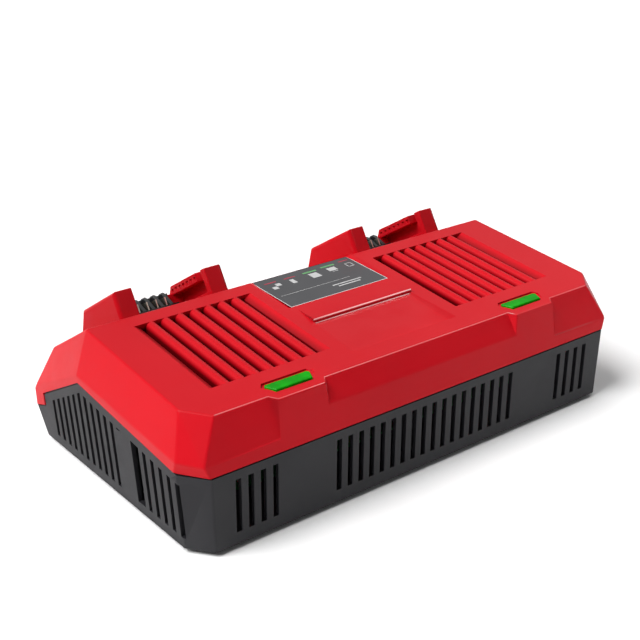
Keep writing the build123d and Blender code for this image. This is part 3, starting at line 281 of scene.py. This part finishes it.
class FinishSettings(bpy.types.PropertyGroup):
    """Colours of the plastics and the label."""

    shell_colour: FloatVectorProperty(
        name="Shell",
        description="Red of the upper shell",
        subtype="COLOR",
        size=3,
        default=(0.55, 0.0035, 0.0105),
    )
    # The docks' red is the shell's red made darker: painted shade for the shade that falls on the
    # docks.
    dock_colour_with_painted_shade: FloatVectorProperty(
        name="Docks",
        description="Deeper red of the docks",
        subtype="COLOR",
        size=3,
        default=(0.46, 0.003, 0.009),
    )
    base_colour: FloatVectorProperty(
        name="Base",
        description="Charcoal of the base",
        subtype="COLOR",
        size=3,
        default=(0.015, 0.0145, 0.0175),
    )
    lens_colour: FloatVectorProperty(
        name="Lens",
        description="Green of the light bars",
        subtype="COLOR",
        size=3,
        default=(0.001, 0.3, 0.0005),
    )
    label_colour: FloatVectorProperty(
        name="Label",
        description="Slate of the label",
        subtype="COLOR",
        size=3,
        default=(0.04, 0.04, 0.0445),
    )


class StageSettings(bpy.types.PropertyGroup):
    """Camera and lights."""

    camera_place: FloatVectorProperty(
        name="Camera place",
        description="Where the camera stands, before the charger and to its left",
        subtype="XYZ",
        unit="LENGTH",
        size=3,
        default=(-0.4091, -0.5363, 0.3471),
    )
    heading: FloatProperty(
        name="Heading",
        description="How far the camera faces to the right of straight ahead",
        default=radians(37.014),
        subtype="ANGLE",
    )
    tilt: FloatProperty(
        name="Tilt",
        description="How far the camera looks down",
        default=radians(22.843),
        subtype="ANGLE",
    )
    roll: FloatProperty(
        name="Roll",
        description="Turn of the camera about its own line of sight",
        default=radians(-1.198),
        subtype="ANGLE",
    )
    lens: FloatProperty(
        name="Lens",
        description="Focal length in millimetres on a 36 mm sensor",
        default=66.61,
    )
    key_strength: FloatProperty(
        name="Key light",
        description="Strength of the wide light from the left",
        default=3.7,
    )
    key_height: FloatProperty(
        name="Key height",
        description="How high the wide light stands over the floor",
        default=radians(53),
        subtype="ANGLE",
    )
    key_turn: FloatProperty(
        name="Key turn",
        description="How far the wide light stands round to the rear from the left",
        default=radians(8),
        subtype="ANGLE",
    )
    key_spread: FloatProperty(
        name="Key spread",
        description="Apparent size of the wide light, which softens the shadows",
        default=radians(35),
        subtype="ANGLE",
    )
    gleam_strength: FloatProperty(
        name="Gleam",
        description="Strength of the narrow light that gleams on the rounded edges",
        default=8.0,
    )
    gleam_towards: FloatVectorProperty(
        name="Gleam direction",
        description="Where the narrow light comes from, high on the right",
        subtype="XYZ",
        size=3,
        default=(0.555, -0.064, 0.819),
    )
    gleam_spread: FloatProperty(
        name="Gleam spread",
        description="Apparent size of the narrow light",
        default=radians(5),
        subtype="ANGLE",
    )
    front_fill: FloatProperty(
        name="Front fill",
        description="Brightness of the surroundings behind the camera",
        default=0.12,
    )
    rear_fill: FloatProperty(
        name="Rear fill",
        description="Brightness of the surroundings behind the charger",
        default=0.6,
    )


SETTINGS = {
    "charger_rounding": RoundingSettings,
    "charger_finish": FinishSettings,
    "charger_stage": StageSettings,
}


# ------------------------------------------------------------------ material building
class Nodes:
    """A material's node tree, with short calls to add and join nodes."""

    def __init__(self, material):
        self.material = material
        material.use_nodes = True
        self.tree = material.node_tree
        self.shader = self.tree.nodes["Principled BSDF"]
        self.place = self.add("ShaderNodeTexCoord").outputs["Object"]

    @classmethod
    def new(cls, name):
        """Starts a new material."""
        return cls(bpy.data.materials.new(name))

    def add(self, kind, **values):
        """Adds a node with its own values, such as operation="MULTIPLY"."""
        node = self.tree.nodes.new(kind)
        for key, value in values.items():
            setattr(node, key, value)
        return node

    def join(self, output, socket):
        """Draws a link."""
        self.tree.links.new(output, socket)

    def feed(self, socket, output):
        """Joins an output to one of the shader's own sockets."""
        self.join(output, self.shader.inputs[socket])

    def set(self, **values):
        """Sets the shader's own sockets, such as Roughness=0.4."""
        for key, value in values.items():
            self.shader.inputs[key.replace("_", " ")].default_value = value

    def axes(self):
        """Splits the place on the piece into X, Y and Z."""
        node = self.add("ShaderNodeSeparateXYZ")
        self.join(self.place, node.inputs["Vector"])
        return node.outputs

    def math(self, operation, *values):
        """Works a number out of outputs and plain numbers."""
        node = self.add("ShaderNodeMath", operation=operation)
        for value, socket in zip(values, node.inputs):
            if isinstance(value, bpy.types.NodeSocket):
                self.join(value, socket)
            else:
                socket.default_value = value
        return node.outputs[0]

    def noise(self, scale, detail=2.0, roughness=0.5, stretch=(1, 1, 1)):
        """Noise over the piece, drawn out along an axis where that is asked."""
        mapping = self.add("ShaderNodeMapping")
        mapping.inputs["Scale"].default_value = stretch
        self.join(self.place, mapping.inputs["Vector"])
        node = self.add("ShaderNodeTexNoise")
        node.inputs["Scale"].default_value = scale
        node.inputs["Detail"].default_value = detail
        node.inputs["Roughness"].default_value = roughness
        self.join(mapping.outputs["Vector"], node.inputs["Vector"])
        return node.outputs["Fac"]

    def spread(self, value, low, high, from_low=0.0, from_high=1.0):
        """Spreads one range of numbers over another."""
        node = self.add("ShaderNodeMapRange")
        limits = {"From Min": from_low, "From Max": from_high, "To Min": low, "To Max": high}
        for key, number in limits.items():
            node.inputs[key].default_value = number
        self.join(value, node.inputs["Value"])
        return node.outputs["Result"]

    def blend(self, share, first, second):
        """Mixes two colours, each an output or three numbers, by a share."""
        node = self.add("ShaderNodeMix", data_type="RGBA")
        self.join(share, node.inputs["Factor"])
        # Inputs 6 and 7 are a Mix node's two colours, and output 2 is the mixed one.
        for colour, socket in ((first, node.inputs[6]), (second, node.inputs[7])):
            if isinstance(colour, bpy.types.NodeSocket):
                self.join(colour, socket)
            else:
                socket.default_value = (*colour, 1.0)
        return node.outputs[2]

    def bump(self, height, distance):
        """Turns heights into a relief of the surface."""
        node = self.add("ShaderNodeBump")
        node.inputs["Distance"].default_value = distance
        node.inputs["Strength"].default_value = 1.0
        self.join(height, node.inputs["Height"])
        return node.outputs["Normal"]


def shade(colour, factor):
    """A colour made lighter or darker."""
    return tuple(min(1.0, part * factor) for part in colour)


def tones(colour, factors):
    """A darker and a lighter tone of a colour."""
    return [shade(colour, factor) for factor in factors]


def moulded_plastic(name, colour, roughness, grain, grain_height, gloss):
    """Injection-moulded plastic: a fine etched grain, slow changes of tone and gloss."""
    nodes = Nodes.new(name)
    drift = nodes.spread(nodes.noise(TONE_SCALE, detail=3.0), 0, 1, **NOISE_MIDDLE)
    nodes.feed("Base Color", nodes.blend(drift, *tones(colour, PLASTIC_TONES)))
    patches = nodes.noise(PATCH_SCALE, detail=4.0, roughness=0.6)
    smoother, rougher = roughness - PLASTIC_SMOOTHER, roughness + PLASTIC_ROUGHER
    nodes.feed("Roughness", nodes.spread(patches, smoother, rougher, **NOISE_MIDDLE))
    nodes.feed("Normal", nodes.bump(nodes.noise(grain), grain_height * MM))
    nodes.set(IOR=1.5, Specular_IOR_Level=gloss)
    return nodes.material


def paint_slot_shade(material):
    """Paints shade into the colour inside the louvre slots, darker by the depth below the sloping
    top, standing in for the shade there.
    """
    nodes = Nodes(material)
    axes = nodes.axes()
    height = nodes.add("ShaderNodeVectorMath", operation="DOT_PRODUCT")
    nodes.join(nodes.place, height.inputs[0])
    height.inputs[1].default_value = TOP_NORMAL
    painted_shade = nodes.spread(
        height.outputs["Value"],
        SLOT_SHADE_SHARE,
        0,
        from_low=TOP_HEIGHT - SLOT_SHADE_DEEPEST,
        from_high=TOP_HEIGHT - SLOT_SHADE_STARTS,
    )
    places = (nodes.math("ABSOLUTE", axes["X"]), axes["Y"])
    for place, middle, reach in zip(places, GRILLE_MIDDLE, GRILLE_REACH):
        painted_shade = nodes.math("MULTIPLY", painted_shade, nodes.math("COMPARE", place, middle, reach))
    plain = nodes.shader.inputs["Base Color"].links[0].from_socket
    nodes.feed("Base Color", nodes.blend(painted_shade, plain, SLOT_SHADE_COLOUR))


def metal(name, colour, roughness, brushing):
    """Metal with a fine brushing, drawn out into lines along an axis where its scale is small."""
    nodes = Nodes.new(name)
    lines = nodes.noise(BRUSHING_SCALE, stretch=brushing)
    nodes.feed("Base Color", nodes.blend(lines, *tones(colour, METAL_TONES)))
    smoother, rougher = roughness - METAL_SMOOTHER, roughness + METAL_ROUGHER
    nodes.feed("Roughness", nodes.spread(lines, smoother, rougher))
    nodes.feed("Normal", nodes.bump(lines, BRUSHING_HEIGHT))
    nodes.set(Metallic=1.0)
    return nodes.material


def lit_lens(name, colour):
    """Green light-pipe plastic, lit faintly from below, with brighter patches over the lamps."""
    nodes = Nodes.new(name)
    haze = nodes.spread(nodes.noise(HAZE_SCALE, detail=3.0), 0, 1, **HAZE_MIDDLE)
    nodes.feed("Base Color", nodes.blend(haze, *tones(colour, LENS_TONES)))
    glow = nodes.spread(nodes.noise(GLOW_SCALE, detail=1.0), 0, 1, **NOISE_MIDDLE)
    nodes.feed("Emission Color", nodes.blend(glow, shade(colour, DIM_GLOW), BRIGHT_GLOW))
    nodes.feed("Roughness", nodes.spread(nodes.noise(LENS_PATCH_SCALE), *LENS_ROUGHNESS))
    nodes.set(Emission_Strength=0.03, IOR=1.49, Specular_IOR_Level=0.06)
    return nodes.material


def printed_label(name, colour, low, high):
    """Satin film with a thin pale line just inside the outline from low to high."""
    nodes = Nodes.new(name)
    axes = nodes.axes()
    past_line = []
    for axis, start, end in (("X", low.x, high.x), ("Y", low.y, high.y)):
        from_middle = nodes.math("SUBTRACT", axes[axis], (start + end) / 2)
        distance = nodes.math("ABSOLUTE", from_middle)
        past_line.append(nodes.math("SUBTRACT", distance, (end - start) / 2 - LINE_INSET))
    on_line = nodes.math("COMPARE", nodes.math("MAXIMUM", *past_line), 0.0, LINE_WIDTH / 2)
    film = nodes.noise(FILM_SCALE, detail=3.0)
    slate = nodes.blend(film, *tones(colour, FILM_TONES))
    nodes.feed("Base Color", nodes.blend(on_line, slate, LINE_COLOUR))
    nodes.feed("Roughness", nodes.spread(film, *FILM_ROUGHNESS))
    nodes.feed("Normal", nodes.bump(nodes.noise(FILM_GRAIN_SCALE), FILM_GRAIN_HEIGHT))
    return nodes.material


def finish_with(piece, material):
    """Gives a piece one material."""
    piece.data.materials.clear()
    piece.data.materials.append(material)


# ------------------------------------------------------------------ mesh building
def merged_copy(node):
    """A bmesh copy of a CAD node, its loose triangles welded and its flat faces made whole."""
    copy = bmesh.new()
    copy.from_mesh(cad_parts[node].data)
    bmesh.ops.remove_doubles(copy, verts=copy.verts, dist=WELD)
    bmesh.ops.dissolve_limit(
        copy,
        angle_limit=FLAT_UNDER,
        use_dissolve_boundaries=False,
        verts=copy.verts,
        edges=copy.edges,
        delimit=set(),
    )
    return copy


def outer_faces(copy, step, least):
    """Faces of the outer form over a least area: no large face stands before them by a step."""
    corners = {
        corner for face in copy.faces if face.calc_area() > LARGE_FACE for corner in face.verts
    }
    return {
        face
        for face in copy.faces
        if face.calc_area() > least
        and face.normal.z > LOWEST_NORMAL
        and max((corner.co - face.verts[0].co).dot(face.normal) for corner in corners) < step
    }


def ridge(edge):
    """Whether two faces meet in a ridge at an edge."""
    return len(edge.link_faces) == 2 and edge.calc_face_angle_signed(0.0) > RIDGE_OVER


def shell_ridges(copy):
    """The upper shell's outer edges and those of its pads, once its stub edges are closed up."""
    bar_low, bar_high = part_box("light_bar_right")
    outer = outer_faces(copy, SHELL_STEP, SHELL_FACE)
    stubs = [
        edge
        for edge in copy.edges
        if ridge(edge)
        and edge.calc_length() < STUB_UNDER
        and abs(edge.verts[0].co.x) > STUBS_BEYOND
        and any(face in outer for face in edge.link_faces)
    ]
    bmesh.ops.collapse(copy, edges=stubs)
    outer = outer_faces(copy, SHELL_STEP, SHELL_FACE)
    edges = []
    for edge in copy.edges:
        corner = edge.verts[0].co
        beside_bar = bar_low.x - PAD_ASIDE < abs(corner.x) < bar_high.x + PAD_ASIDE
        on_pad = beside_bar and corner.y < bar_low.y + PAD_BEHIND
        above = min(corner.co.z for corner in edge.verts) > PAD_OVER
        sides = [face in outer for face in edge.link_faces]
        if ridge(edge) and (all(sides) or (any(sides) and on_pad and above)):
            edges.append(edge)
    return edges


def dock_ridges(copy):
    """The edges of a dock's rails and lips."""
    return [
        edge
        for edge in copy.edges
        if ridge(edge)
        and edge.calc_face_angle_signed(0.0) > DOCK_RIDGE_OVER
        and edge.calc_length() > DOCK_RIDGE_LENGTH
        and min(face.calc_area() for face in edge.link_faces) > DOCK_FACE
    ]


def base_ridges(copy):
    """The base's outer edges, apart from those at its upper rim."""
    outer = outer_faces(copy, BASE_STEP, BASE_FACE)
    return [
        edge
        for edge in copy.edges
        if ridge(edge)
        and edge.calc_length() > BASE_RIDGE_LENGTH
        and max(corner.co.z for corner in edge.verts) < BASE_RIDGE_UNDER
        and all(face in outer for face in edge.link_faces)
    ]


def round_off(copy, edges, radius):
    """Rounds edges of a mesh."""
    bmesh.ops.bevel(
        copy,
        geom=edges,
        offset=radius,
        offset_type="OFFSET",
        segments=ROUNDING_STEPS,
        profile=0.5,
        affect="EDGES",
        clamp_overlap=False,
        material=-1,
        loop_slide=True,
    )


def set_down(name, shape):
    """Turns a bmesh into a piece of the scene."""
    mesh = bpy.data.meshes.new(name)
    shape.to_mesh(mesh)
    shape.free()
    piece = bpy.data.objects.new(name, mesh)
    bpy.context.scene.collection.objects.link(piece)
    return piece


def skin(node, material, ridges=None, radius=0.0):
    """Stands in for a CAD node with one welded skin, rounded where asked and shaded smooth."""
    copy = merged_copy(node)
    if ridges is not None:
        round_off(copy, ridges(copy), radius)
    piece = set_down(f"{node}_skin", copy)
    piece.data.shade_smooth()
    piece.data.set_sharp_from_angle(angle=SMOOTH_UNDER)
    flats = piece.modifiers.new("flat faces stay flat", "WEIGHTED_NORMAL")
    flats.mode = "FACE_AREA"
    flats.weight = FLAT_FACE_WEIGHT
    flats.keep_sharp = True
    finish_with(piece, material)
    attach(piece, HOUSING)
    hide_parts(node)


def inlay_shape(upper, lower):
    """A slab from the half width, front and rear of its upper face and of its foot."""
    shape = bmesh.new()
    bmesh.ops.create_cube(shape, size=2.0)
    for corner in shape.verts:
        half_width, front, rear = upper if corner.co.z > 0 else lower
        end = rear if corner.co.y > 0 else front
        corner.co = Vector((corner.co.x * half_width, end.y, end.z))
    return shape


def print_marks(ink, colour, corner, slope, up):
    """Lays the plain marks of one ink on the label, as film a few hundredths of a mm thick."""
    shape = bmesh.new()
    for kind, across, along, width, depth in MARKS:
        if kind != ink:
            continue
        for vert in bmesh.ops.create_cube(shape, size=1.0)["verts"]:
            aside = (across + vert.co.x * width) * MM
            upslope = (along + vert.co.y * depth) * MM
            lift = (INK_MIDDLE + vert.co.z * INK_THICKNESS) * MM
            vert.co = corner + Vector((aside, 0, 0)) + slope * upslope + up * lift
    piece = set_down(f"label_{ink}", shape)
    finish_with(piece, moulded_plastic(f"ink_{ink}", colour, *MOULDED["ink"]))
    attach(piece, HOUSING)


# ------------------------------------------------------------------ stage building
def lay_floor():
    """Lays the pale paper floor."""
    shape = bmesh.new()
    bmesh.ops.create_grid(shape, x_segments=1, y_segments=1, size=FLOOR_REACH)
    ground = set_down("floor", shape)
    paper = Nodes.new("paper")
    paper.feed("Base Color", paper.blend(paper.noise(PAPER_SCALE), *PAPER_TONES))
    paper.set(Roughness=PAPER_ROUGHNESS)
    finish_with(ground, paper.material)


def light_surroundings(front_fill, rear_fill):
    """Surrounds the stage with white light that changes from front to rear."""
    world = bpy.data.worlds.new("studio")
    bpy.context.scene.world = world
    world.use_nodes = True
    tree = world.node_tree
    place = tree.nodes.new("ShaderNodeTexCoord")
    axes = tree.nodes.new("ShaderNodeSeparateXYZ")
    tree.links.new(place.outputs["Generated"], axes.inputs["Vector"])
    fill = tree.nodes.new("ShaderNodeMapRange")
    limits = {"From Min": -1.0, "From Max": 1.0, "To Min": front_fill, "To Max": rear_fill}
    for key, number in limits.items():
        fill.inputs[key].default_value = number
    tree.links.new(axes.outputs["Y"], fill.inputs["Value"])
    background = tree.nodes["Background"]
    tree.links.new(fill.outputs["Result"], background.inputs["Strength"])
    background.inputs["Color"].default_value = WHITE


def sun(name, towards, strength, spread, gleam=False):
    """Hangs a distant light in the direction it comes from; a gleam only shows as a reflection."""
    light = bpy.data.lights.new(name, "SUN")
    light.energy = strength
    light.angle = spread
    lamp = bpy.data.objects.new(name, light)
    lamp.rotation_mode = "QUATERNION"
    lamp.rotation_quaternion = Vector(towards).to_track_quat("Z", "Y")
    lamp.visible_diffuse = not gleam
    bpy.context.scene.collection.objects.link(lamp)


def hang_lamps(settings):
    """Hangs the wide key light on the left, and the narrow gleam."""
    across = cos(settings.key_height)
    towards = (
        -across * cos(settings.key_turn),
        across * sin(settings.key_turn),
        sin(settings.key_height),
    )
    sun("key", towards, settings.key_strength, settings.key_spread)
    sun(
        "gleam",
        settings.gleam_towards,
        settings.gleam_strength,
        settings.gleam_spread,
        gleam=True,
    )


def set_camera(settings):
    """Sets the camera up before the charger and to its left."""
    camera = bpy.data.cameras.new("camera")
    camera.sensor_width = SENSOR_WIDTH
    camera.lens = settings.lens
    camera.clip_start = NEAREST
    camera.clip_end = FARTHEST
    eye = bpy.data.objects.new("camera", camera)
    bpy.context.scene.collection.objects.link(eye)
    turn = Matrix.Rotation(-settings.heading, 4, "Z")
    turn @= Matrix.Rotation(pi / 2 - settings.tilt, 4, "X")
    turn @= Matrix.Rotation(settings.roll, 4, "Z")
    eye.matrix_world = Matrix.Translation(settings.camera_place) @ turn
    bpy.context.scene.camera = eye


# ------------------------------------------------------------------ operators
class CHARGER_OT_stage(bpy.types.Operator):
    """Set the floor, the lights and the camera"""

    bl_idname = "charger.stage"
    bl_label = "Stage"

    def execute(self, context):
        settings = context.scene.charger_stage
        lay_floor()
        light_surroundings(settings.front_fill, settings.rear_fill)
        hang_lamps(settings)
        set_camera(settings)
        context.scene.view_settings.view_transform = "Standard"
        return {"FINISHED"}


class CHARGER_OT_top_shell(bpy.types.Operator):
    """Build the red upper shell with its rounded edges"""

    bl_idname = "charger.top_shell"
    bl_label = "Top Shell"

    def execute(self, context):
        red = context.scene.charger_finish.shell_colour[:]
        plastic = moulded_plastic("shell_plastic", red, *MOULDED["shell_plastic"])
        # Paints shade into the slots of the grilles.
        paint_slot_shade(plastic)
        radius = context.scene.charger_rounding.shell_radius
        skin("top_shell", plastic, shell_ridges, radius)
        return {"FINISHED"}


class CHARGER_OT_base_shell(bpy.types.Operator):
    """Build the charcoal base with its rounded edges"""

    bl_idname = "charger.base_shell"
    bl_label = "Base Shell"

    def execute(self, context):
        charcoal = context.scene.charger_finish.base_colour[:]
        plastic = moulded_plastic("base_plastic", charcoal, *MOULDED["base_plastic"])
        radius = context.scene.charger_rounding.base_radius
        skin("base_shell", plastic, base_ridges, radius)
        return {"FINISHED"}


class CHARGER_OT_docks(bpy.types.Operator):
    """Build both docks and terminal blocks, and finish their blades"""

    bl_idname = "charger.docks"
    bl_label = "Docks"

    def execute(self, context):
        black = moulded_plastic("black_plastic", BLACK, *MOULDED["black_plastic"])
        # The docks' red holds painted shade: it is darker than the shell's red.
        red = context.scene.charger_finish.dock_colour_with_painted_shade[:]
        plastic = moulded_plastic("dock_plastic", red, *MOULDED["dock_plastic"])
        contact = metal("contact_metal", *METALS["contact_metal"])
        radius = context.scene.charger_rounding.dock_radius
        for side in SIDES:
            skin(f"dock_{side}", plastic, dock_ridges, radius)
            skin(f"terminal_block_{side}", black)
            finish_with(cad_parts[f"terminal_blades_{side}"], contact)
        return {"FINISHED"}


class CHARGER_OT_light_bars(bpy.types.Operator):
    """Build the green light bars"""

    bl_idname = "charger.light_bars"
    bl_label = "Light Bars"

    def execute(self, context):
        lens = lit_lens("green_lens", context.scene.charger_finish.lens_colour[:])
        for side in SIDES:
            skin(f"light_bar_{side}", lens)
        return {"FINISHED"}


class CHARGER_OT_label(bpy.types.Operator):
    """Fill the label's field with a lined film and lay its marks on top"""

    bl_idname = "charger.label"
    bl_label = "Label"

    def execute(self, context):
        low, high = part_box("label_plate")
        half_width = high.x + INLAY_ASIDE
        front = Vector((0, low.y - INLAY_FORWARD, low.z + INLAY_FRONT_RISE))
        rear = Vector((0, high.y + INLAY_REARWARD, high.z + INLAY_REAR_RISE))
        foot_front = Vector((0, front.y + FOOT_FRONT_INSET, low.z + FOOT_FRONT_RISE))
        foot_rear = Vector((0, rear.y - FOOT_REAR_INSET, high.z - FOOT_REAR_SINK))
        shape = inlay_shape((half_width, front, rear), (high.x, foot_front, foot_rear))
        inlay = set_down("label_inlay", shape)
        slate = context.scene.charger_finish.label_colour[:]
        line_low = Vector((-half_width, front.y, 0))
        line_high = Vector((half_width, rear.y + LINE_PAST_REAR, 0))
        finish_with(inlay, printed_label("label_film", slate, line_low, line_high))
        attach(inlay, HOUSING)
        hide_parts("label_plate")
        corner = Vector((-half_width, front.y, front.z))
        slope = (rear - front).normalized()
        up = Vector((1, 0, 0)).cross(slope)
        for ink, colour in INKS.items():
            print_marks(ink, colour, corner, slope, up)
        return {"FINISHED"}


class CHARGER_OT_fittings(bpy.types.Operator):
    """Finish the feet, the cord gland, the screws and everything inside"""

    bl_idname = "charger.fittings"
    bl_label = "Fittings"

    def execute(self, context):
        finishes = {"black_plastic": bpy.data.materials["black_plastic"]}
        for name, colour in FITTING_COLOURS.items():
            finishes[name] = moulded_plastic(name, colour, *MOULDED[name])
        for name in ("screw_steel", "sink_aluminium"):
            finishes[name] = metal(name, *METALS[name])
        for start, finish in FITTINGS.items():
            for name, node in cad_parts.items():
                if name.startswith(start):
                    finish_with(node, finishes[finish])
        return {"FINISHED"}


STEPS = (
    CHARGER_OT_stage,
    CHARGER_OT_top_shell,
    CHARGER_OT_base_shell,
    CHARGER_OT_docks,
    CHARGER_OT_light_bars,
    CHARGER_OT_label,
    CHARGER_OT_fittings,
)


class CHARGER_PT_sidebar(bpy.types.Panel):
    """Settings and steps of the charger"""

    bl_idname = "CHARGER_PT_sidebar"
    bl_label = "Charger"
    bl_space_type = "VIEW_3D"
    bl_region_type = "UI"
    bl_category = "Charger"

    def draw(self, context):
        for name in SETTINGS:
            group = getattr(context.scene, name)
            for key in group.__annotations__:
                self.layout.prop(group, key)
        for step in STEPS:
            self.layout.operator(step.bl_idname)


def register():
    """Registers the settings, the steps and the panel."""
    for group in SETTINGS.values():
        bpy.utils.register_class(group)
    for step in STEPS:
        bpy.utils.register_class(step)
    bpy.utils.register_class(CHARGER_PT_sidebar)
    for name, group in SETTINGS.items():
        setattr(bpy.types.Scene, name, PointerProperty(type=group))


def unregister():
    """Takes the settings, the panel and the steps away again."""
    for name in SETTINGS:
        delattr(bpy.types.Scene, name)
    bpy.utils.unregister_class(CHARGER_PT_sidebar)
    for step in reversed(STEPS):
        bpy.utils.unregister_class(step)
    for group in SETTINGS.values():
        bpy.utils.unregister_class(group)


def main():
    """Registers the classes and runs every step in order."""
    register()
    for step in STEPS:
        group, name = step.bl_idname.split(".")
        getattr(getattr(bpy.ops, group), name)()


if __name__ == "__main__":
    main()
